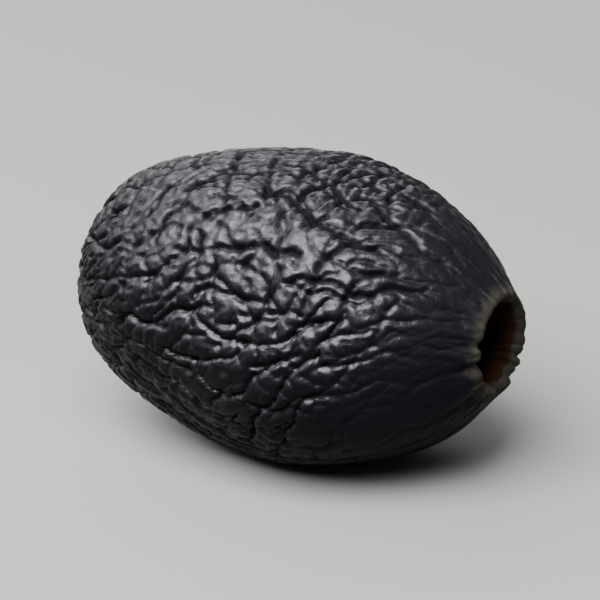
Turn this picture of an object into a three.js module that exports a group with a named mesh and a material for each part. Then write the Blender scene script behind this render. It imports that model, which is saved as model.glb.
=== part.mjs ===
// A pitted black jujube: a dried, smoked fruit with its stone punched out along its length.
// The fruit is one piece of skin and flesh, so it is one solid. Millimetres, +Z up.
// It lies on a small flat spot at Z = 0, with its length and the stone's hole along X.
import * as THREE from "three";
import { mergeVertices } from "three/addons/utils/BufferGeometryUtils.js";

// Size of the fruit. Its stem end is at -X and its tip end at +X.
const LENGTH = 33.6; // before the skin sinks in or stands out round the hole's mouths
const GIRTH = 23.8; // mean width across the belly
const OVAL = 0.02; // share by which it is wider than it is high
const TAPER = 0.2; // share by which the tip's half is fuller than the stem's half
const SAG = 0.04; // slope by which the belly hangs below the hole towards the tip end
const FLAT_SPOT_DEPTH = 0.45; // how far the underside is pressed flat
const FLAT_SPOT_REACH = 5; // the wrinkles fade out over this distance from its middle

// The hole that the stone was punched out of
const HOLE_RADIUS = 2.9;
const HOLE_BULGE = 0.3; // it is wider in the middle, where the stone's belly sat
const LIP_RADIUS = 0.95; // the skin rolls over the edge of the hole
const DIMPLE_RADIUS = 5;
const RIM_SWELL = 0.5; // how far the rim of the hole stands out
const RIM_WIDTH = 1.1;
const PLEATS = 11; // puckers across the rim
const PLEAT_DEPTH = 0.5;
const PLEAT_SIDE = 3.47; // in radians: turns the side where they are deepest to the underside

// The two ends. In squareness 2 is an ellipse, and more has fuller shoulders. The skin sinks in by the dimple
// towards the hole, and stands out where it is negative.
const STEM_END = { side: -1, squareness: 2.3, dimple: 1.2 };
const TIP_END = { side: 1, squareness: 1.95, dimple: -0.35 };

// Wide, shallow dents of the whole fruit: their depth, their number round the fruit, and their turn along it
const DENTS = [
  { depth: 0.3, count: 3, twist: 0.12, phase: 0.7 },
  { depth: 0.2, count: 5, twist: -0.19, phase: 2.1 },
  { depth: 0.18, count: 2, twist: 0.33, phase: 4.0 },
];

// The dried skin's wrinkles: rounded ridges between narrow furrows. Lean is the furrows' angle to the fruit's
// length, and wander is how far they stray from it, both in radians. Each set is deeper in some patches,
// which a wave places: its number round the fruit, its turn along it and its phase.
const FURROWS = [
  { seed: 11, spacing: 3.1, reach: 2.2, depth: 0.66, lean: 0.2, wander: 0.9, patch: [2, 0.25, 1.9] },
  { seed: 23, spacing: 2.9, reach: 1.6, depth: 0.55, lean: 1.2, wander: 0.9, patch: [3, 0.2, -0.85] },
];
const PATCHINESS = 0.45; // share of the depth that is lost between the patches
const NARROWNESS = 1.7; // of the furrows: 1 is a plain wave
const SPACING_SPREAD = 0.2; // how much the spacing varies from place to place
const ANGLE_SPREAD = 0.3;
const WAVELET_SPACING = 0.8; // distance between wavelets, as a share of their reach
const WAVELET_CUT = 3; // a wavelet is left out further than this many reaches away
const FORK_CALM = 1.5; // furrows fade out below this strength of the summed waves

// The skin is drawn tight, with shallower wrinkles, round the tip end's mouth
const TIGHT_FROM = 6; // along X
const TIGHT_TO = 14;
const TIGHT_SHARE = 0.3; // of the wrinkles' depth

// Fineness of the mesh
const SEGMENTS_AROUND = 96;
const STEPS_ALONG = 52; // from mouth to mouth
const FINE_STEPS = 200; // of the outline that they are measured along
const STEPS_OVER_LIP = 3;
const STEPS_IN_HOLE = 4;

const TURN = 2 * Math.PI;
const GOLDEN_ANGLE = Math.PI * (3 - Math.sqrt(5));
const BELLY_RADIUS = GIRTH / 2;
const MOUTH_RADIUS = HOLE_RADIUS + LIP_RADIUS;

// Even random numbers from 0 to 1, the same on every run.
function randomNumbers(seed) {
  let state = seed;
  return () => {
    state = (Math.imul(state, 1664525) + 1013904223) >>> 0;
    return state / 4294967296;
  };
}

function smoothStep(low, high, x) {
  const t = Math.min(1, Math.max(0, (x - low) / (high - low)));
  return t * t * (3 - 2 * t);
}

// Distance from the middle to where an end would close without its hole.
function poleOf({ squareness }) {
  return LENGTH / 2 / Math.pow(1 - Math.pow(MOUTH_RADIUS / BELLY_RADIUS, squareness), 1 / squareness);
}

// Radius of the plain barrel at x.
function barrelRadius(x) {
  const end = x < 0 ? STEM_END : TIP_END;
  const share = Math.min(1, Math.abs(x) / poleOf(end));
  return BELLY_RADIUS * Math.pow(1 - Math.pow(share, end.squareness), 1 / end.squareness);
}

// A point of the plain barrel's outline, from an end's mouth, at share 0, to the belly, at share 1, given as
// (distance from the axis, place along it).
function barrelPoint(end, share) {
  const start = Math.asin(Math.pow(MOUTH_RADIUS / BELLY_RADIUS, end.squareness / 2));
  const angle = start + (Math.PI / 2 - start) * share;
  const power = 2 / end.squareness;
  const along = end.side * poleOf(end) * Math.pow(Math.cos(angle), power);
  return new THREE.Vector2(BELLY_RADIUS * Math.pow(Math.sin(angle), power), along);
}

// The plain barrel's outline from mouth to mouth, in even steps.
function barrelOutline() {
  const fine = [];
  for (let i = 0; i < FINE_STEPS; i++) fine.push(barrelPoint(STEM_END, i / FINE_STEPS));
  for (let i = FINE_STEPS; i >= 0; i--) fine.push(barrelPoint(TIP_END, i / FINE_STEPS));
  const curve = new THREE.SplineCurve(fine);
  curve.arcLengthDivisions = 2 * FINE_STEPS;
  return curve.getSpacedPoints(STEPS_ALONG);
}

// The closed outline that is turned round the length: over the barrel, over one lip, through the hole and
// over the other lip.
function outline() {
  const points = barrelOutline();
  const end = LENGTH / 2 - LIP_RADIUS;
  const addLip = (side, i) => {
    const angle = (Math.PI / 2) * (i / STEPS_OVER_LIP);
    const out = side * (end + LIP_RADIUS * Math.cos(angle));
    points.push(new THREE.Vector2(MOUTH_RADIUS - LIP_RADIUS * Math.sin(angle), out));
  };
  for (let i = 1; i <= STEPS_OVER_LIP; i++) addLip(1, i);
  for (let i = 1; i < STEPS_IN_HOLE; i++) {
    const along = 1 - (2 * i) / STEPS_IN_HOLE;
    points.push(new THREE.Vector2(HOLE_RADIUS + HOLE_BULGE * (1 - along * along), end * along));
  }
  for (let i = STEPS_OVER_LIP; i >= 0; i--) addLip(-1, i);
  return points;
}

// Bends a point of the turned barrel to this fruit: oval, tapered, sagging, dented, and sunk in and pleated
// round the hole's mouths.
function bend(p) {
  const radius = Math.hypot(p.y, p.z);
  const around = Math.atan2(p.z, p.y);
  const outside = smoothStep(HOLE_RADIUS, BELLY_RADIUS, radius);
  let grown = 1 + outside * (OVAL * Math.cos(2 * around) + (TAPER * p.x) / LENGTH);
  for (const { depth, count, twist, phase } of DENTS)
    grown += (outside * depth * Math.cos(count * around + twist * p.x + phase)) / BELLY_RADIUS;
  const { side, dimple } = p.x < 0 ? STEM_END : TIP_END;
  const nearEnd = smoothStep(0.3 * LENGTH, 0.5 * LENGTH, Math.abs(p.x));
  const rim = Math.exp(-Math.pow((radius - MOUTH_RADIUS) / RIM_WIDTH, 2));
  const crease = Math.pow(0.5 + 0.5 * Math.cos(PLEATS * around + 1.5 * Math.sin(2 * around + side)), 2);
  const pleat = PLEAT_DEPTH * crease * Math.pow(0.5 + 0.5 * Math.sin(around + PLEAT_SIDE), 2);
  const drawnIn = dimple * Math.exp(-Math.pow(radius / DIMPLE_RADIUS, 2));
  const sunk = nearEnd * (drawnIn + rim * (pleat - RIM_SWELL));
  p.set(p.x - side * sunk, p.y * grown, p.z * grown - SAG * p.x * outside);
}

// Wavelets spread evenly over the barrel. Each is a short train of waves, whose crests are the skin's ridges.
// Round the mouths they all run across the hole's radii, so the furrows there point at the hole.
function wavelets({ seed, spacing, reach, lean, wander }) {
  const random = randomNumbers(seed);
  const count = Math.round((Math.PI * GIRTH * LENGTH) / Math.pow(WAVELET_SPACING * reach, 2));
  const stem = -poleOf(STEM_END);
  const tip = poleOf(TIP_END);
  return Array.from({ length: count }, (_, i) => {
    const x = stem + ((tip - stem) * (i + random())) / count;
    const around = i * GOLDEN_ANGLE + random();
    const radius = barrelRadius(x);
    const slope = (barrelRadius(x + 0.01) - barrelRadius(x - 0.01)) / 0.02;
    const outward = new THREE.Vector3(0, Math.cos(around), Math.sin(around));
    const hoop = new THREE.Vector3(0, -Math.sin(around), Math.cos(around));
    const lengthwise = outward.clone().multiplyScalar(slope).setX(1).normalize();
    const stray = Math.sin(0.31 * x + 2 * around + seed) + Math.sin(0.17 * x - 3 * around + 2 * seed);
    const free = smoothStep(MOUTH_RADIUS, BELLY_RADIUS, radius);
    const angle = free * (lean + 0.5 * wander * stray) + ANGLE_SPREAD * (2 * random() - 1);
    const waves = TURN / (spacing * (1 + SPACING_SPREAD * (2 * random() - 1)));
    const wave = hoop.multiplyScalar(Math.cos(angle)).addScaledVector(lengthwise, Math.sin(angle));
    const centre = outward.multiplyScalar(radius).setX(x);
    return { centre, wave: wave.multiplyScalar(waves), start: TURN * random() };
  });
}

// Depth of one set of furrows at a point. The summed waves make rounded ridges with a crease between them,
// which fork and end where the waves cancel out.
function furrowDepth(point, { depth, reach, patch: [count, twist, phase] }, set) {
  const offset = new THREE.Vector3();
  let even = 0;
  let odd = 0;
  for (const { centre, wave, start } of set) {
    const squared = offset.subVectors(point, centre).lengthSq() / (reach * reach);
    if (squared > WAVELET_CUT * WAVELET_CUT) continue;
    const weight = Math.exp(-squared / 2);
    even += weight * Math.cos(wave.dot(offset) + start);
    odd += weight * Math.sin(wave.dot(offset) + start);
  }
  const strength = Math.hypot(even, odd);
  const crease = Math.pow((1 - even / strength) / 2, NARROWNESS);
  const patch = 0.5 - 0.5 * Math.sin(count * Math.atan2(point.z, point.y) + twist * point.x + phase);
  return depth * smoothStep(0, FORK_CALM, strength) * crease * (1 - PATCHINESS * patch);
}

// Share of the wrinkles' depth that a point of the turned barrel keeps: none in the hole, and less round the
// tip's mouth.
function wrinkleShare(p) {
  const radius = Math.hypot(p.y, p.z);
  if (Math.abs(p.x) < LENGTH / 2 - LIP_RADIUS && radius < MOUTH_RADIUS) return 0;
  const tight = smoothStep(TIGHT_FROM, TIGHT_TO, p.x);
  return smoothStep(HOLE_RADIUS, MOUTH_RADIUS + LIP_RADIUS, radius) * (1 - (1 - TIGHT_SHARE) * tight);
}

// Cuts each four-sided patch of the mesh along its more level diagonal, so that no furrow's bottom has teeth.
function cutLevel(index, depths) {
  for (let i = 0; i < index.count; i += 6) {
    const [a, b, d, c] = [0, 1, 2, 3].map((k) => index.getX(i + k));
    if (Math.abs(depths[b] - depths[d]) <= Math.abs(depths[a] - depths[c])) continue;
    [a, b, c, a, c, d].forEach((corner, k) => index.setX(i + k, corner));
  }
}

function jujubeGeometry() {
  const turned = new THREE.LatheGeometry(outline(), SEGMENTS_AROUND);
  turned.deleteAttribute("normal");
  turned.deleteAttribute("uv");
  turned.rotateZ(-Math.PI / 2);
  const geometry = mergeVertices(turned, 1e-4);
  const { position } = geometry.attributes;
  const places = Array.from({ length: position.count }, (_, i) => i);
  const plain = places.map((i) => new THREE.Vector3().fromBufferAttribute(position, i));
  const bent = plain.map((p) => {
    const moved = p.clone();
    bend(moved);
    return moved;
  });
  bent.forEach((p, i) => position.setXYZ(i, p.x, p.y, p.z));
  geometry.computeVertexNormals();
  geometry.computeBoundingBox();
  const under = new THREE.Vector3(0, 0, geometry.boundingBox.min.z);
  const sets = FURROWS.map(wavelets);
  const depths = bent.map((p, i) => {
    const free = smoothStep(0.3 * FLAT_SPOT_REACH, FLAT_SPOT_REACH, p.distanceTo(under));
    const share = free * wrinkleShare(plain[i]);
    if (share === 0) return 0;
    return share * Math.hypot(...FURROWS.map((furrow, k) => furrowDepth(plain[i], furrow, sets[k])));
  });
  const normal = new THREE.Vector3();
  bent.forEach((p, i) => {
    normal.fromBufferAttribute(geometry.attributes.normal, i);
    p.addScaledVector(normal, -depths[i]);
  });
  cutLevel(geometry.index, depths);
  const floor = under.z + FLAT_SPOT_DEPTH;
  bent.forEach((p, i) => position.setXYZ(i, p.x, p.y, Math.max(0, p.z - floor)));
  geometry.computeVertexNormals();
  return geometry;
}

const skin = new THREE.MeshStandardMaterial({ color: 0x151416, roughness: 0.42, metalness: 0 });
const jujube = new THREE.Mesh(jujubeGeometry(), skin);
jujube.name = "jujube";

const fruit = new THREE.Group();
fruit.add(jujube);

export default fruit;
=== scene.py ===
"""The looks of a pitted black jujube: a smoked, dried, finely wrinkled fruit, lying on a pale surface.

Laid out as a Blender add-on and run as a script. Lengths are in millimetres in formulas, and in metres in
meshes and settings. The fruit's length and its stone hole run along X, from the stem end at -X to the tip
end at +X, and Z is up."""
import math
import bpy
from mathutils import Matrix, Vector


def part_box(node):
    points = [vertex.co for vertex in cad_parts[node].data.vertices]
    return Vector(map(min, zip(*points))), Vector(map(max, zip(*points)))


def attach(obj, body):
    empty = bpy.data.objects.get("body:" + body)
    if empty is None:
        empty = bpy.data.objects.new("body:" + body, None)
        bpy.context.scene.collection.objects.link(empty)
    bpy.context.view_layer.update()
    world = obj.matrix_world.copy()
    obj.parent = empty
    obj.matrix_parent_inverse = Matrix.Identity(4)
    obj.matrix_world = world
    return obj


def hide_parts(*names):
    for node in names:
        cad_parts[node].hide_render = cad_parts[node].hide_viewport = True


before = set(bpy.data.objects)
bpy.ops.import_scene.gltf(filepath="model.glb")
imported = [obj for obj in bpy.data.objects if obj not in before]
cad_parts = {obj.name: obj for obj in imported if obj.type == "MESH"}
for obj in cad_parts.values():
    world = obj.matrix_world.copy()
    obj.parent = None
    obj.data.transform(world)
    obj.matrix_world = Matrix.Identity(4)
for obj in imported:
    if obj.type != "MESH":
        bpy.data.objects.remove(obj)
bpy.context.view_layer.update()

from types import SimpleNamespace

import bmesh
import bpy
import numpy as np
from bpy.props import FloatProperty, FloatVectorProperty, PointerProperty
from mathutils import Vector

bl_info = {
    "name": "Pitted black jujube",
    "version": (1, 0, 0),
    "blender": (4, 5, 0),
    "location": "3D View > Sidebar > Jujube",
    "description": "Makes a pitted, smoked and dried jujube with a wrinkled skin, and a plain stage for it",
    "category": "Add Mesh",
}

MM = 0.001
TURN = 2 * math.pi
GOLDEN_ANGLE = math.pi * (3 - math.sqrt(5))

# The fruit's form, the same as in its solid, in millimetres
OVAL = 0.02
TAPER = 0.2
SAG = 0.04
HOLE_BULGE = 0.3
DIMPLE_RADIUS = 5
RIM_SWELL = 0.5
RIM_WIDTH = 1.1
PLEATS = 11
PLEAT_DEPTH = 0.5
PLEAT_SIDE = 3.47
STEM_END = SimpleNamespace(side=-1, squareness=2.3, dimple=1.2)
TIP_END = SimpleNamespace(side=1, squareness=1.95, dimple=-0.35)
DENTS = [
    SimpleNamespace(depth=0.3, count=3, twist=0.12, phase=0.7),
    SimpleNamespace(depth=0.2, count=5, twist=-0.19, phase=2.1),
    SimpleNamespace(depth=0.18, count=2, twist=0.33, phase=4.0),
]

# The flat spot it rests on. Wrinkles start beyond its calm middle and have their full depth past its reach.
FLAT_SPOT_DEPTH = 0.45
FLAT_SPOT_CALM = 1.5
FLAT_SPOT_REACH = 5

# The skin is drawn tight towards the tip: from first to full along the length, and how far these places move
# towards the tip with each millimetre up
TIGHT_FROM = 6
TIGHT_TO = 14
TIGHT_LEAN = 0.4

# The wrinkles, in pairs of sets, one lengthwise and one across. The first pair is the solid's own, with
# narrower creases, and the others are finer. Each set is deeper in some patches, which a wave places: its
# number round the fruit, its turn along it, its phase and its size. Tight and under are the shares of its
# depth that are left on the tight skin near the tip and underneath.
WRINKLES = [
    SimpleNamespace(seed=11, spacing=3.1, reach=2.2, depth=0.48, lean=0.2, wander=0.9, turn=0.3,
                    sharpness=8, patch=(2, 0.25, 1.9, 0.45), tight=0.2, under=1.2),
    SimpleNamespace(seed=23, spacing=2.9, reach=1.6, depth=0.42, lean=1.2, wander=0.9, turn=0.3,
                    sharpness=8, patch=(3, 0.2, -0.85, 0.45), tight=0.2, under=0.35),
    SimpleNamespace(seed=37, spacing=2.0, reach=1.4, depth=0.36, lean=0.15, wander=0.9, turn=0.35,
                    sharpness=7, patch=(2, 0.2, 1.0, 0.4), tight=0.35, under=1.4),
    SimpleNamespace(seed=71, spacing=2.0, reach=1.2, depth=0.35, lean=1.2, wander=1.0, turn=0.5,
                    sharpness=7, patch=(3, 0.2, 4.0, 0.4), tight=0.2, under=0.35),
    SimpleNamespace(seed=53, spacing=1.1, reach=0.9, depth=0.17, lean=0.1, wander=1.4, turn=0.8,
                    sharpness=4, patch=(3, 0.3, 2.0, 0.45), tight=0.4, under=1.4),
    SimpleNamespace(seed=59, spacing=1.1, reach=0.9, depth=0.15, lean=1.4, wander=1.4, turn=0.8,
                    sharpness=4, patch=(3, 0.3, 2.0, 0.45), tight=0.4, under=0.35),
]

# Heights over the hole's axis between which a wrinkle's depth turns to its share underneath
UNDER_FROM = 4
UNDER_TO = -3

# How much deeper wrinkles are along the back, from first to full by height over the hole's axis, and on the
# stem's shoulder, from first to full along the length
BACK_DEPTH = 0.5
BACK_FROM = 8
BACK_TO = 11
SHOULDER_FROM = -10
SHOULDER_TO = -14

# Wrinkles come from short trains of waves: how much their spacing varies, how far apart the trains lie and
# how far each is felt, both as shares of their reach, and how strong together they make a full crease
SPACING_SPREAD = 0.2
WAVELET_SPACING = 0.8
WAVELET_CUT = 3
FORK_CALM = 1.5

# The waves that make creases run to and fro: the length and size of each
CRINKLE_SEED = 5
CRINKLES = [(3.4, 0.08), (2.3, 0.06), (1.5, 0.045), (1.0, 0.035)]

# How deep light from above reaches into a crease on the flanks, which spares those walls the crease shade
# that the material paints. It reaches a wall that faces up more than the form does there, from first to full
# by that difference, and fades where the form itself faces further up.
LIT_DEPTH = 0.4
LIT_WALL = (0.1, 0.45)
LIT_FLANK = (0.25, 0.65)

# The fine folds round the hole's mouths, the torn flesh on its wall, and how far flesh shows over its lips
PUCKERS = 18
PUCKER_DEPTH = 0.27
PUCKER_REACH = 2.6
TORN_DEPTH = 0.16
FLESH_REACH = 0.4

# Fineness of the mesh, just under 200,000 triangles
SEGMENTS_AROUND = 398
STEPS_ALONG = 210
STEPS_OVER_LIP = 8
STEPS_IN_HOLE = 24

# The skin's patterns. Bloom is the greyer patches, and the net is hair lines between cells, each line's half
# width a share of a cell, with the cells drifting out of shape in larger waves. The grain of the real skin is
# finer, and is drawn as coarse as it needs to show.
BLOOM_SIZE = 4.55
GRAIN_SIZE = 0.625
GRAIN_DEPTH = 0.1
NET_SIZE = 0.667
NET_LINE = 0.16
NET_DEPTH = 0.03
DRIFT_SIZE = 1.11
DRIFT_REACH = 0.9

# The shine on ridges and low in creases, the depths in a crease between which it drops, and the shares of it
# that are left on skin that faces down, on tight skin, on the scuffed rims and on bare flesh. Its drop in
# creases and on skin that faces down is painted shade.
RIDGE_SHINE = 0.33
CREASE_SHINE = 0.06
CREASE_FROM = 0.15
CREASE_TO = 0.34
DOWNWARD_SHARE = 0.16
TIGHT_SHARE = 0.7
RIM_SHARE = 0.55
FLESH_SHARE = 0

# The roughness of the skin, from its smoothest grain to its roughest, and what creases, rims and flesh add
SMOOTHEST = 0.3
ROUGHEST = 0.44
CREASE_ROUGHER = 0.4
RIM_ROUGHER = 0.15
FLESH_ROUGHER = 0.3

# How far the grain breaks up the edge of the scuffed rims and of the flesh
RAGGEDNESS = 1.2

# The softboxes: their size in metres, and the turn of each from the camera's side and its height, both in
# degrees, its distance in metres and its share of the key light's power
SOFTBOX_SIZE = 0.34
SOFTBOXES = [
    ("front left", -30, 57, 0.4, 1),
    ("left", -98, 40, 0.4, 0.2),
    ("behind left", -165, 38, 0.45, 0.19),
]

# The room's even light, and how far the surface reaches each way, in metres
ROOM_COLOUR = "#e6e9ee"
ROOM_STRENGTH = 0.2
SURFACE_REACH = 3


def smooth_step(start, end, x):
    """Goes smoothly from 0 at the start to 1 at the end."""
    t = np.clip((x - start) / (end - start), 0, 1)
    return t * t * (3 - 2 * t)


def random_numbers(seed):
    """Even random numbers from 0 to 1, the same on every run and in the solid."""
    state = seed
    while True:
        state = (state * 1664525 + 1013904223) % 4294967296
        yield state / 4294967296


def pole_of(end, fruit):
    """Distance from the middle to where an end would close without its hole."""
    share = 1 - (fruit.mouth_radius / fruit.belly_radius) ** end.squareness
    return fruit.length / 2 / share ** (1 / end.squareness)


def barrel_radius(x, fruit):
    """Radius of the plain barrel at x."""
    end = STEM_END if x < 0 else TIP_END
    share = min(1, abs(x) / pole_of(end, fruit))
    return fruit.belly_radius * (1 - share ** end.squareness) ** (1 / end.squareness)


def barrel_point(end, share, fruit):
    """A point (along, radius) of the plain barrel's outline, from a mouth at share 0 to the belly at 1."""
    start = math.asin((fruit.mouth_radius / fruit.belly_radius) ** (end.squareness / 2))
    angle = start + (math.pi / 2 - start) * share
    power = 2 / end.squareness
    along = end.side * pole_of(end, fruit) * math.cos(angle) ** power if share < 1 else 0
    return along, fruit.belly_radius * math.sin(angle) ** power


def barrel_outline(fruit):
    """The plain barrel's outline from mouth to mouth, in even steps, as (along, radius) pairs."""
    shares = np.linspace(0, 1, STEPS_ALONG)
    fine = [barrel_point(STEM_END, share, fruit) for share in shares[:-1]]
    fine = np.array(fine + [barrel_point(TIP_END, share, fruit) for share in shares[::-1]])
    walked = np.concatenate([[0], np.cumsum(np.linalg.norm(np.diff(fine, axis=0), axis=1))])
    even = np.linspace(0, walked[-1], STEPS_ALONG + 1)
    return list(zip(np.interp(even, walked, fine[:, 0]), np.interp(even, walked, fine[:, 1])))


def outline(fruit):
    """The closed outline that is spun round the length, as (along, radius) pairs."""
    points = barrel_outline(fruit)
    end = fruit.length / 2 - fruit.lip_radius

    def lip(side, i):
        angle = math.pi / 2 * i / STEPS_OVER_LIP
        out = side * (end + fruit.lip_radius * math.cos(angle))
        return out, fruit.mouth_radius - fruit.lip_radius * math.sin(angle)

    points += [lip(1, i) for i in range(1, STEPS_OVER_LIP + 1)]
    for i in range(1, STEPS_IN_HOLE):
        along = 1 - 2 * i / STEPS_IN_HOLE
        points.append((end * along, fruit.hole_radius + HOLE_BULGE * (1 - along * along)))
    points += [lip(-1, i) for i in range(STEPS_OVER_LIP, 0, -1)]
    return np.array(points)


def from_axis(points):
    """Distance of each point from the hole's axis."""
    return np.hypot(points[..., 1], points[..., 2])


def around_axis(points):
    """Angle of each point round the hole's axis."""
    return np.arctan2(points[..., 2], points[..., 1])


def mouth_share(x, fruit):
    """Rises smoothly from 0 to 1 over the last fifth of the length before either mouth."""
    return smooth_step(0.3 * fruit.length, 0.5 * fruit.length, np.abs(x))


def bend(plain, fruit):
    """Bends the spun barrel's points to this fruit: oval, tapered, sagging, dented, with pleated mouths."""
    x, y, z = plain[..., 0], plain[..., 1], plain[..., 2]
    radius = from_axis(plain)
    around = around_axis(plain)
    outside = smooth_step(fruit.hole_radius, fruit.belly_radius, radius)
    grown = 1 + outside * (OVAL * np.cos(2 * around) + TAPER * x / fruit.length)
    for dent in DENTS:
        wave = np.cos(dent.count * around + dent.twist * x + dent.phase)
        grown = grown + outside * dent.depth * wave / fruit.belly_radius
    side = np.where(x < 0, -1, 1)
    dimple = np.where(x < 0, STEM_END.dimple, TIP_END.dimple)
    rim = np.exp(-(((radius - fruit.mouth_radius) / RIM_WIDTH) ** 2))
    crease = (0.5 + 0.5 * np.cos(PLEATS * around + 1.5 * np.sin(2 * around + side))) ** 2
    pleat = PLEAT_DEPTH * crease * (0.5 + 0.5 * np.sin(around + PLEAT_SIDE)) ** 2
    sunk = dimple * np.exp(-((radius / DIMPLE_RADIUS) ** 2)) + rim * (pleat - RIM_SWELL)
    sunk = mouth_share(x, fruit) * sunk
    return np.stack([x - side * sunk, y * grown, z * grown - SAG * x * outside], axis=-1)


def barrel_slope(x, fruit):
    """How fast the plain barrel's radius grows at x."""
    step = 0.01
    return (barrel_radius(x + step, fruit) - barrel_radius(x - step, fruit)) / (2 * step)


def wavelets(wrinkle, fruit):
    """Short trains of waves spread evenly over the barrel, as (centre, radius, wave, phase)."""
    random = random_numbers(wrinkle.seed)
    area = math.pi * 2 * fruit.belly_radius * fruit.length
    count = round(area / (WAVELET_SPACING * wrinkle.reach) ** 2)
    stem = -pole_of(STEM_END, fruit)
    tip = pole_of(TIP_END, fruit)
    for i in range(count):
        x = stem + (tip - stem) * (i + next(random)) / count
        around = i * GOLDEN_ANGLE + next(random)
        radius = barrel_radius(x, fruit)
        slope = barrel_slope(x, fruit)
        outward = np.array([0, math.cos(around), math.sin(around)])
        hoop = np.array([0, -math.sin(around), math.cos(around)])
        lengthwise = np.array([1, slope * outward[1], slope * outward[2]]) / math.hypot(1, slope)
        stray = math.sin(0.31 * x + 2 * around + wrinkle.seed)
        stray += math.sin(0.17 * x - 3 * around + 2 * wrinkle.seed)
        free = smooth_step(fruit.mouth_radius, fruit.belly_radius, radius)
        angle = free * (wrinkle.lean + 0.5 * wrinkle.wander * stray) + wrinkle.turn * (2 * next(random) - 1)
        waves = TURN / (wrinkle.spacing * (1 + SPACING_SPREAD * (2 * next(random) - 1)))
        wave = waves * (hoop * math.cos(angle) + lengthwise * math.sin(angle))
        yield radius * outward + (x, 0, 0), radius, wave, TURN * next(random)


def crinkled(plain):
    """The spun barrel's points, jogged a little to and fro, so that creases laid over them run unevenly."""
    random = random_numbers(CRINKLE_SEED)
    jogged = plain.copy()
    for length, size in CRINKLES:
        for axis in range(3):
            heading = np.array([2 * next(random) - 1 for _ in range(3)])
            wave = TURN / length * heading / np.linalg.norm(heading)
            jogged[..., axis] += size * np.sin(plain @ wave + TURN * next(random))
    return jogged


def tight_skin(plain):
    """How tightly the skin is drawn, from 0 to 1 near the tip, and further from it underneath."""
    return smooth_step(TIGHT_FROM, TIGHT_TO, plain[..., 0] - TIGHT_LEAN * plain[..., 2])


def near_columns(centre, radius, cut, narrowest):
    """Columns of the spun barrel's points that may lie within the cut of a wave train's centre, in rows whose
    radius is the narrowest or more."""
    half = 2 * math.asin(min(1, cut / (2 * math.sqrt(radius * narrowest))))
    middle = round(math.atan2(centre[2], centre[1]) / TURN * SEGMENTS_AROUND)
    reach = min(SEGMENTS_AROUND // 2 - 1, math.ceil(half / TURN * SEGMENTS_AROUND))
    return np.arange(middle - reach, middle + reach + 1) % SEGMENTS_AROUND


def wave_sum(wrinkle, plain, rings, fruit):
    """One set's wave trains added up at each point of the spun barrel, as complex numbers."""
    summed = np.zeros(plain.shape[:2], complex)
    cut = WAVELET_CUT * wrinkle.reach
    for centre, radius, wave, phase in wavelets(wrinkle, fruit):
        rows = np.nonzero(np.hypot(rings[:, 0] - centre[0], rings[:, 1] - radius) < cut)[0]
        if rows.size == 0:
            continue
        window = np.ix_(rows, near_columns(centre, radius, cut, rings[rows, 1].min()))
        offset = plain[window] - centre
        squared = np.sum(offset * offset, axis=-1) / wrinkle.reach ** 2
        weight = np.where(squared < WAVELET_CUT ** 2, np.exp(-squared / 2), 0)
        summed[window] += weight * np.exp(1j * (offset @ wave + phase))
    return summed


def creases(wrinkle, plain, rings, fruit):
    """Share of its depth, from 0 to 1, that one set of wrinkles has at each point of the spun barrel."""
    summed = wave_sum(wrinkle, plain, rings, fruit)
    fold = (np.abs(np.angle(summed)) / math.pi) ** wrinkle.sharpness
    count, twist, phase, patchiness = wrinkle.patch
    wave = np.sin(count * around_axis(plain) + twist * plain[..., 0] + phase)
    fold = fold * (1 - patchiness * (0.5 - 0.5 * wave))
    fold = fold * (1 - (1 - wrinkle.tight) * tight_skin(plain))
    fold = fold * (1 - (1 - wrinkle.under) * smooth_step(UNDER_FROM, UNDER_TO, plain[..., 2]))
    return smooth_step(0, FORK_CALM, np.abs(summed)) * fold


def in_hole(plain, fruit):
    """Which points are on the hole's wall, past both lips."""
    past_lips = np.abs(plain[..., 0]) < fruit.length / 2 - fruit.lip_radius
    return past_lips & (from_axis(plain) < fruit.mouth_radius)


def wrinkle_share(plain, fruit):
    """Share of the wrinkles' depth that a point keeps: none in the hole, and less at its edge."""
    share = smooth_step(fruit.hole_radius, fruit.mouth_radius + fruit.lip_radius, from_axis(plain))
    return np.where(in_hole(plain, fruit), 0, share)


def puckers(plain, fruit):
    """Depth of the fine folds that run over the lips and fade out inside the hole."""
    side = np.sign(plain[..., 0])
    around = around_axis(plain)
    uneven = around + 0.16 * np.sin(3 * around + side) + 0.06 * np.sin(7 * around - 2 * side)
    fold = (0.5 + 0.5 * np.cos(PUCKERS * uneven)) ** 3
    patch = 0.55 + 0.45 * np.sin(3 * around + 2 * side + 2.7)
    near = 1 - smooth_step(fruit.mouth_radius, fruit.mouth_radius + PUCKER_REACH, from_axis(plain))
    return PUCKER_DEPTH * near * mouth_share(plain[..., 0], fruit) * patch * fold


def torn_flesh(plain, fruit):
    """Depth of the uneven grooves that the stone left along the hole's wall."""
    along = plain[..., 0]
    around = around_axis(plain)
    grooves = np.sin(6 * around + 0.3 * along) * np.sin(11 * around - 0.45 * along + 1)
    lumps = np.sin(0.8 * along + 2 * around) * np.sin(0.5 * along - 3 * around + 2)
    return np.where(in_hole(plain, fruit), TORN_DEPTH * (0.5 + 0.25 * grooves + 0.25 * lumps), 0)


def grid_normals(points):
    """Outward unit normals of a closed grid of points, ring by ring."""
    along = np.roll(points, -1, axis=0) - np.roll(points, 1, axis=0)
    hoop = np.roll(points, -1, axis=1) - np.roll(points, 1, axis=1)
    normal = np.cross(hoop, along)
    return normal / np.linalg.norm(normal, axis=-1, keepdims=True)


def fruit_sizes(settings):
    """The fruit's sizes in millimetres."""
    sizes = {name: round(getattr(settings, name) / MM, 4) for name in ("length", "hole_radius", "lip_radius")}
    belly = round(settings.girth / MM, 4) / 2
    mouth = sizes["hole_radius"] + sizes["lip_radius"]
    return SimpleNamespace(**sizes, belly_radius=belly, mouth_radius=mouth)


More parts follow.
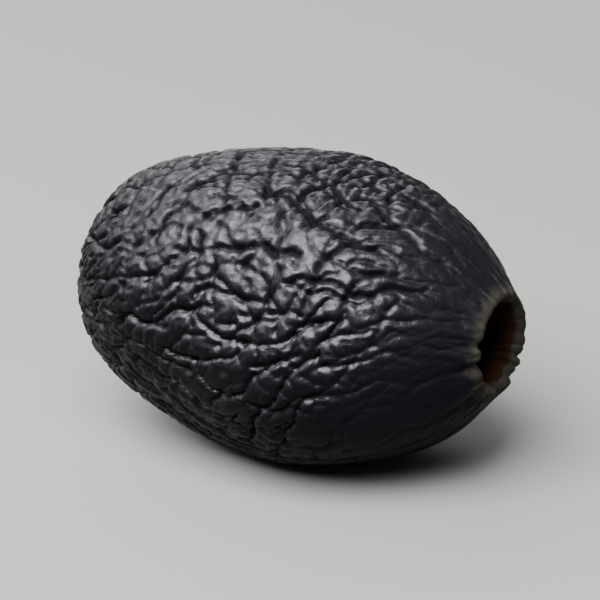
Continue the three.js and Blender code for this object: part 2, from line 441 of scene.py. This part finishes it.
def spun_barrel(rings):
    """A bmesh of the outline spun a full turn round X, one ring of vertices for each point of the outline."""
    bm = bmesh.new()
    loop = bmesh.ops.create_circle(bm, segments=len(rings), radius=1)["verts"]
    for vertex, (along, radius) in zip(loop, rings):
        vertex.co = (along, radius, 0)
    bmesh.ops.spin(bm, geom=bm.verts[:] + bm.edges[:], cent=(0, 0, 0), axis=(1, 0, 0), angle=TURN,
                   steps=SEGMENTS_AROUND, use_merge=True, use_duplicate=False)
    bmesh.ops.recalc_face_normals(bm, faces=bm.faces[:])
    return bm


def spun_points(rings):
    """The points of the spun barrel, one ring of them for each point of the outline."""
    turns = np.arange(SEGMENTS_AROUND) * TURN / SEGMENTS_AROUND
    radius = rings[:, 1, None]
    along = np.broadcast_to(rings[:, 0, None], (len(rings), SEGMENTS_AROUND))
    return np.stack([along, radius * np.cos(turns), radius * np.sin(turns)], axis=-1)


def wrinkle_depths(plain, rings, fruit, scale):
    """How deep the wrinkles are, all sets together, at each point of the spun barrel."""
    jogged = crinkled(plain)
    depths = [scale * w.depth * creases(w, jogged, rings, fruit) for w in WRINKLES]
    # Where the two sets of a pair cross, their depths don't add up in full
    wrinkled = sum(np.hypot(one, other) for one, other in zip(depths[::2], depths[1::2]))
    back = smooth_step(BACK_FROM, BACK_TO, plain[..., 2]) * (1 - tight_skin(plain))
    shoulder = smooth_step(SHOULDER_FROM, SHOULDER_TO, plain[..., 0])
    return wrinkle_share(plain, fruit) * wrinkled * (1 + BACK_DEPTH * np.maximum(back, shoulder))


def crease_shade_depth(sunk, upward, form_upward):
    """How deep in a crease the skin lies out of the light from above, where the material paints shade."""
    lit = smooth_step(*LIT_WALL, upward - form_upward) * (1 - smooth_step(*LIT_FLANK, form_upward))
    return np.maximum(0, sunk - LIT_DEPTH * lit)


def fruit_shape(rings, fruit, wrinkle_scale):
    """The fruit's points, ring by ring, and what its material reads at each: how deep in a crease the skin
    lies in painted shade, how far it faces up, and where the bare flesh, the rims and the tight skin are."""
    plain = spun_points(rings)
    bent = bend(plain, fruit)
    lowest = np.array([0, 0, bent[..., 2].min()])
    free = smooth_step(FLAT_SPOT_CALM, FLAT_SPOT_REACH, np.linalg.norm(bent - lowest, axis=-1))
    sunk = free * wrinkle_depths(plain, rings, fruit, wrinkle_scale)
    sunk += puckers(plain, fruit) + torn_flesh(plain, fruit)
    form_normals = grid_normals(bent)
    points = bent - form_normals * sunk[..., None]
    upward = grid_normals(points)[..., 2]
    points[..., 2] = np.maximum(0, points[..., 2] - lowest[2] - FLAT_SPOT_DEPTH)
    radius = from_axis(plain)
    over_lip = 1 - smooth_step(fruit.hole_radius, fruit.hole_radius + FLESH_REACH, radius)
    looks = {
        # Depth in a crease used for painted shade: the material dims the skin's shine there
        "crease_shade": crease_shade_depth(sunk, upward, form_normals[..., 2]),
        "upward": upward,
        "flesh": np.where(in_hole(plain, fruit), 1, over_lip),
        "rim": 1 - smooth_step(fruit.mouth_radius, fruit.mouth_radius + RIM_WIDTH, radius),
        "tight": tight_skin(plain),
    }
    return points, looks


def jujube_mesh(settings):
    """The fruit's mesh, with an attribute for each thing that its material reads."""
    fruit = fruit_sizes(settings)
    rings = outline(fruit)
    points, looks = fruit_shape(rings, fruit, settings.wrinkle_depth)
    mesh = bpy.data.meshes.new("pitted_jujube")
    bm = spun_barrel(rings)
    bm.to_mesh(mesh)
    bm.free()
    by_vertex = np.swapaxes(points, 0, 1).reshape(-1, 3) * MM
    mesh.vertices.foreach_set("co", by_vertex.ravel())
    for name, values in looks.items():
        layer = mesh.attributes.new(name, "FLOAT", "POINT")
        layer.data.foreach_set("value", values.T.ravel())
    mesh.shade_smooth()
    mesh.update()
    return mesh


def linear(hex_colour):
    """An sRGB hex colour as linear red, green, blue and alpha."""
    parts = [int(hex_colour[i:i + 2], 16) / 255 for i in (1, 3, 5)]
    return [p / 12.92 if p <= 0.04045 else ((p + 0.055) / 1.055) ** 2.4 for p in parts] + [1]


def add_node(tree, kind, inputs=None, **settings):
    """Adds one node. Each input is a value, or another node's output to link from."""
    node = tree.nodes.new(kind)
    for name, value in settings.items():
        setattr(node, name, value)
    for name, value in (inputs or {}).items():
        if isinstance(value, bpy.types.NodeSocket):
            tree.links.new(value, node.inputs[name])
        else:
            node.inputs[name].default_value = value
    return node


def new_material(name):
    """An empty material, its node tree and its output node."""
    material = bpy.data.materials.new(name)
    material.use_nodes = True
    material.node_tree.nodes.clear()
    return material, material.node_tree, material.node_tree.nodes.new("ShaderNodeOutputMaterial")


def ragged(tree, part, noise):
    """An attribute that marks a part, with its soft edge broken up by a noise."""
    summed = add_node(tree, "ShaderNodeMath", {0: noise, 1: RAGGEDNESS, 2: part}, operation="MULTIPLY_ADD")
    edge = {"Value": summed.outputs[0], "From Min": 0.8, "From Max": 1.4}
    return add_node(tree, "ShaderNodeMapRange", edge).outputs[0]


def skin_colour(tree, settings, in_mm, looks, worn, bare):
    """Near black skin with greyer patches, bluish where it is tight, brown at the rims, and caramel flesh."""
    bloom = add_node(tree, "ShaderNodeTexNoise", {"Vector": in_mm, "Scale": 1 / BLOOM_SIZE, "Detail": 3})
    layers = (
        (bloom.outputs["Fac"], settings.bloom_colour),
        (looks["tight"], settings.tight_colour),
        (worn, settings.rim_colour),
        (bare, settings.flesh_colour),
    )
    colour = settings.skin_colour
    for part, layer in layers:
        mixed = add_node(tree, "ShaderNodeMix", {"Factor": part, "A": colour, "B": layer}, data_type="RGBA")
        colour = mixed.outputs["Result"]
    return colour


def skin_shine(tree, looks, worn, bare):
    """Full on ridges that face up. Dimmed in creases and on skin that faces down, as painted shade, and less
    on tight or scuffed skin and on flesh.
    """
    # Painted shade: the shine drops in creases and, below, on skin that faces down
    crease_shaded_shine = add_node(tree, "ShaderNodeMapRange", {
        "Value": looks["crease_shade"], "From Min": CREASE_FROM, "From Max": CREASE_TO,
        "To Min": RIDGE_SHINE, "To Max": CREASE_SHINE,
    })
    underside_shade = add_node(tree, "ShaderNodeMapRange", {
        "Value": looks["upward"], "From Min": 0.05, "From Max": 0.5, "To Min": DOWNWARD_SHARE, "To Max": 1,
    })
    shares = [underside_shade]
    for part, share in ((looks["tight"], TIGHT_SHARE), (worn, RIM_SHARE), (bare, FLESH_SHARE)):
        shares.append(add_node(tree, "ShaderNodeMapRange", {"Value": part, "To Min": 1, "To Max": share}))
    shine = crease_shaded_shine.outputs[0]
    for share in shares:
        dulled = add_node(tree, "ShaderNodeMath", {0: shine, 1: share.outputs[0]}, operation="MULTIPLY")
        shine = dulled.outputs[0]
    return shine


def skin_roughness(tree, grain, looks, worn, bare):
    """Satin skin that varies with its grain, and is rougher in creases, at the rims and on the bare flesh."""
    satin = add_node(tree, "ShaderNodeMapRange", {
        "Value": grain, "From Min": 0.3, "From Max": 0.7, "To Min": SMOOTHEST, "To Max": ROUGHEST,
    })
    creased = add_node(tree, "ShaderNodeMapRange", {
        "Value": looks["crease_shade"], "From Max": 0.5, "To Max": CREASE_ROUGHER,
    })
    rough = satin.outputs[0]
    for part, added in ((creased.outputs[0], 1), (worn, RIM_ROUGHER), (bare, FLESH_ROUGHER)):
        summed = add_node(tree, "ShaderNodeMath", {0: part, 1: added, 2: rough}, operation="MULTIPLY_ADD")
        rough = summed.outputs[0]
    return rough


def skin_relief(tree, in_mm, grain):
    """The skin's own relief, too fine for the mesh: a net of hair lines between its cells, and its grain."""
    drift = add_node(tree, "ShaderNodeTexNoise", {"Vector": in_mm, "Scale": 1 / DRIFT_SIZE, "Detail": 2})
    drifted = add_node(tree, "ShaderNodeVectorMath", {
        0: drift.outputs["Color"], 1: (DRIFT_REACH,) * 3, 2: in_mm,
    }, operation="MULTIPLY_ADD")
    cells = add_node(tree, "ShaderNodeTexVoronoi", {"Vector": drifted.outputs[0], "Scale": 1 / NET_SIZE},
                     feature="DISTANCE_TO_EDGE")
    net = add_node(tree, "ShaderNodeMapRange", {"Value": cells.outputs["Distance"], "From Max": NET_LINE})
    netted = add_node(tree, "ShaderNodeBump", {
        "Height": net.outputs[0], "Strength": 0.25, "Distance": NET_DEPTH * MM,
    })
    grained = add_node(tree, "ShaderNodeBump", {
        "Height": grain, "Strength": 0.4, "Distance": GRAIN_DEPTH * MM, "Normal": netted.outputs[0],
    })
    return grained.outputs[0]


def smoked_skin_material(settings):
    """Smoked jujube skin, near black and satin with a cool sheen, and dark matt caramel flesh in the hole."""
    material, tree, output = new_material("smoked jujube skin and flesh")
    place = add_node(tree, "ShaderNodeTexCoord").outputs["Object"]
    scaled = add_node(tree, "ShaderNodeVectorMath", {0: place, 1: (1 / MM,) * 3}, operation="MULTIPLY")
    in_mm = scaled.outputs[0]
    looks = {name: add_node(tree, "ShaderNodeAttribute", attribute_name=name).outputs["Fac"]
             for name in ("crease_shade", "upward", "flesh", "rim", "tight")}
    grain = add_node(tree, "ShaderNodeTexNoise", {
        "Vector": in_mm, "Scale": 1 / GRAIN_SIZE, "Detail": 5, "Roughness": 0.6,
    }).outputs["Fac"]
    worn = ragged(tree, looks["rim"], grain)
    bare = ragged(tree, looks["flesh"], grain)
    shader = add_node(tree, "ShaderNodeBsdfPrincipled", {
        "Base Color": skin_colour(tree, settings, in_mm, looks, worn, bare),
        "Roughness": skin_roughness(tree, grain, looks, worn, bare),
        "Normal": skin_relief(tree, in_mm, grain),
        # Painted shade: the shine is dimmed in creases and on skin that faces down
        "Specular IOR Level": skin_shine(tree, looks, worn, bare),
        "Specular Tint": settings.sheen_colour,
        "IOR": 1.5,
    })
    tree.links.new(shader.outputs[0], output.inputs["Surface"])
    return material


def floor_material(settings):
    """Matt grey paper, which these lights make pale, with a soft shadow and no reflection on it."""
    material, tree, output = new_material("matt grey paper")
    look = {"Base Color": settings.floor_colour, "Roughness": 0.9}
    shader = add_node(tree, "ShaderNodeBsdfPrincipled", look)
    tree.links.new(shader.outputs[0], output.inputs["Surface"])
    return material


def direction(azimuth, elevation):
    """Unit vector from the fruit towards a view: azimuth 0 is in front, at -Y, and grows towards +X."""
    flat = math.cos(elevation)
    return Vector((math.sin(azimuth) * flat, -math.cos(azimuth) * flat, math.sin(elevation)))


def aim(thing, target):
    """Turns a camera or light to face a point."""
    thing.rotation_euler = (target - thing.location).to_track_quat("-Z", "Y").to_euler()


def add_softbox(name, azimuth, elevation, distance, power, target):
    """A square area light that faces the target."""
    lamp = bpy.data.lights.new(name, "AREA")
    lamp.energy = power
    lamp.size = SOFTBOX_SIZE
    box = bpy.data.objects.new(name, lamp)
    bpy.context.scene.collection.objects.link(box)
    box.location = target + distance * direction(azimuth, elevation)
    aim(box, target)


def add_floor(settings):
    """The surface that the fruit lies on."""
    bm = bmesh.new()
    bmesh.ops.create_grid(bm, x_segments=1, y_segments=1, size=SURFACE_REACH)
    mesh = bpy.data.meshes.new("surface")
    bm.to_mesh(mesh)
    bm.free()
    mesh.materials.append(floor_material(settings))
    floor = bpy.data.objects.new("surface", mesh)
    bpy.context.scene.collection.objects.link(floor)


def add_camera(settings, target):
    """The camera, at its distance and side, wide enough for the frame width at the target."""
    lens = bpy.data.cameras.new("camera")
    lens.lens = lens.sensor_width * settings.distance / settings.frame_width
    camera = bpy.data.objects.new("camera", lens)
    bpy.context.scene.collection.objects.link(camera)
    camera.location = target + settings.distance * direction(settings.azimuth, settings.elevation)
    aim(camera, target)
    bpy.context.scene.camera = camera


def add_room_light():
    """Weak even light from all round, as pale walls give."""
    world = bpy.data.worlds.new("soft room")
    world.use_nodes = True
    background = world.node_tree.nodes["Background"]
    background.inputs["Color"].default_value = linear(ROOM_COLOUR)
    background.inputs["Strength"].default_value = ROOM_STRENGTH
    bpy.context.scene.world = world


class FruitSettings(bpy.types.PropertyGroup):
    """Sizes and colours of the fruit."""

    length: FloatProperty(name="Length", description="Between the mouths' rims", default=33.6 * MM,
                          unit="LENGTH", precision=4)
    girth: FloatProperty(name="Girth", description="Mean width across the belly", default=23.8 * MM,
                         unit="LENGTH", precision=4)
    hole_radius: FloatProperty(name="Hole radius", description="Radius of the hole that the stone left",
                               default=2.9 * MM, unit="LENGTH", precision=5)
    lip_radius: FloatProperty(name="Lip radius", description="Radius of the skin's roll into the hole",
                              default=0.95 * MM, unit="LENGTH", precision=5)
    wrinkle_depth: FloatProperty(name="Wrinkle depth", description="Share of the wrinkles' natural depth",
                                 default=1, min=0, max=1.5)
    skin_colour: FloatVectorProperty(name="Skin", description="Smoked black skin", subtype="COLOR", size=4,
                                     default=linear("#050506"))
    bloom_colour: FloatVectorProperty(name="Bloom", description="Slightly greyer patches of the skin",
                                      subtype="COLOR", size=4, default=linear("#0a0a0d"))
    tight_colour: FloatVectorProperty(name="Tight skin", description="Bluish skin drawn tight near the tip",
                                      subtype="COLOR", size=4, default=linear("#0c0c10"))
    sheen_colour: FloatVectorProperty(name="Sheen", description="Cool tint of the skin's satin sheen",
                                      subtype="COLOR", size=4, default=linear("#f7f9ff"))
    rim_colour: FloatVectorProperty(name="Rim", description="Scuffed brown skin round the hole's mouths",
                                    subtype="COLOR", size=4, default=linear("#25231e"))
    flesh_colour: FloatVectorProperty(name="Flesh", description="Dark caramel flesh inside the hole",
                                      subtype="COLOR", size=4, default=linear("#1e130c"))


class StageSettings(bpy.types.PropertyGroup):
    """The surface, lights and camera."""

    floor_colour: FloatVectorProperty(name="Surface", description="Paper under the fruit",
                                      subtype="COLOR", size=4, default=linear("#747472"))
    azimuth: FloatProperty(name="Azimuth", description="Side that the camera looks from",
                           subtype="ANGLE", default=math.radians(28.3))
    elevation: FloatProperty(name="Elevation", description="Height that the camera looks from",
                             subtype="ANGLE", default=math.radians(21.8))
    distance: FloatProperty(name="Distance", description="From the camera to the fruit", unit="LENGTH",
                            default=0.42)
    frame_width: FloatProperty(name="Frame width", description="Width that the camera sees at the fruit",
                               unit="LENGTH", default=45 * MM, precision=4)
    key_power: FloatProperty(name="Key light", description="Power of the main softbox",
                             unit="POWER", default=9.4)


class JUJUBE_OT_fruit(bpy.types.Operator):
    """Make the wrinkled fruit in place of its plain solid"""

    bl_idname = "jujube.fruit"
    bl_label = "Pitted jujube"

    def execute(self, context):
        settings = context.scene.jujube_fruit
        mesh = jujube_mesh(settings)
        mesh.materials.append(smoked_skin_material(settings))
        fruit = bpy.data.objects.new("pitted_jujube", mesh)
        context.scene.collection.objects.link(fruit)
        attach(fruit, "root")
        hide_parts("jujube")
        return {"FINISHED"}


class JUJUBE_OT_stage(bpy.types.Operator):
    """Lay the pale surface, set the soft lights and place the camera"""

    bl_idname = "jujube.stage"
    bl_label = "Stage"

    def execute(self, context):
        settings = context.scene.jujube_stage
        low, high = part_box("jujube")
        middle = (low + high) / 2
        add_floor(settings)
        add_camera(settings, middle)
        for name, turned, up, distance, share in SOFTBOXES:
            azimuth = settings.azimuth + math.radians(turned)
            add_softbox(name, azimuth, math.radians(up), distance, share * settings.key_power, middle)
        add_room_light()
        return {"FINISHED"}


class JUJUBE_PT_panel(bpy.types.Panel):
    """Lists the fruit's and the stage's settings and operators."""

    bl_idname = "JUJUBE_PT_panel"
    bl_label = "Pitted jujube"
    bl_space_type = "VIEW_3D"
    bl_region_type = "UI"
    bl_category = "Jujube"

    def draw(self, context):
        scene = context.scene
        for group, operator in ((scene.jujube_fruit, JUJUBE_OT_fruit), (scene.jujube_stage, JUJUBE_OT_stage)):
            box = self.layout.box()
            for name in group.bl_rna.properties.keys():
                if name not in ("rna_type", "name"):
                    box.prop(group, name)
            box.operator(operator.bl_idname)


CLASSES = (FruitSettings, StageSettings, JUJUBE_OT_fruit, JUJUBE_OT_stage, JUJUBE_PT_panel)


def register():
    """Registers the classes and hangs the settings on the scene."""
    for cls in CLASSES:
        bpy.utils.register_class(cls)
    bpy.types.Scene.jujube_fruit = PointerProperty(type=FruitSettings)
    bpy.types.Scene.jujube_stage = PointerProperty(type=StageSettings)


def unregister():
    """Undoes register."""
    del bpy.types.Scene.jujube_stage
    del bpy.types.Scene.jujube_fruit
    for cls in reversed(CLASSES):
        bpy.utils.unregister_class(cls)


def main():
    register()
    bpy.ops.jujube.stage()
    bpy.ops.jujube.fruit()


if __name__ == "__main__":
    main()
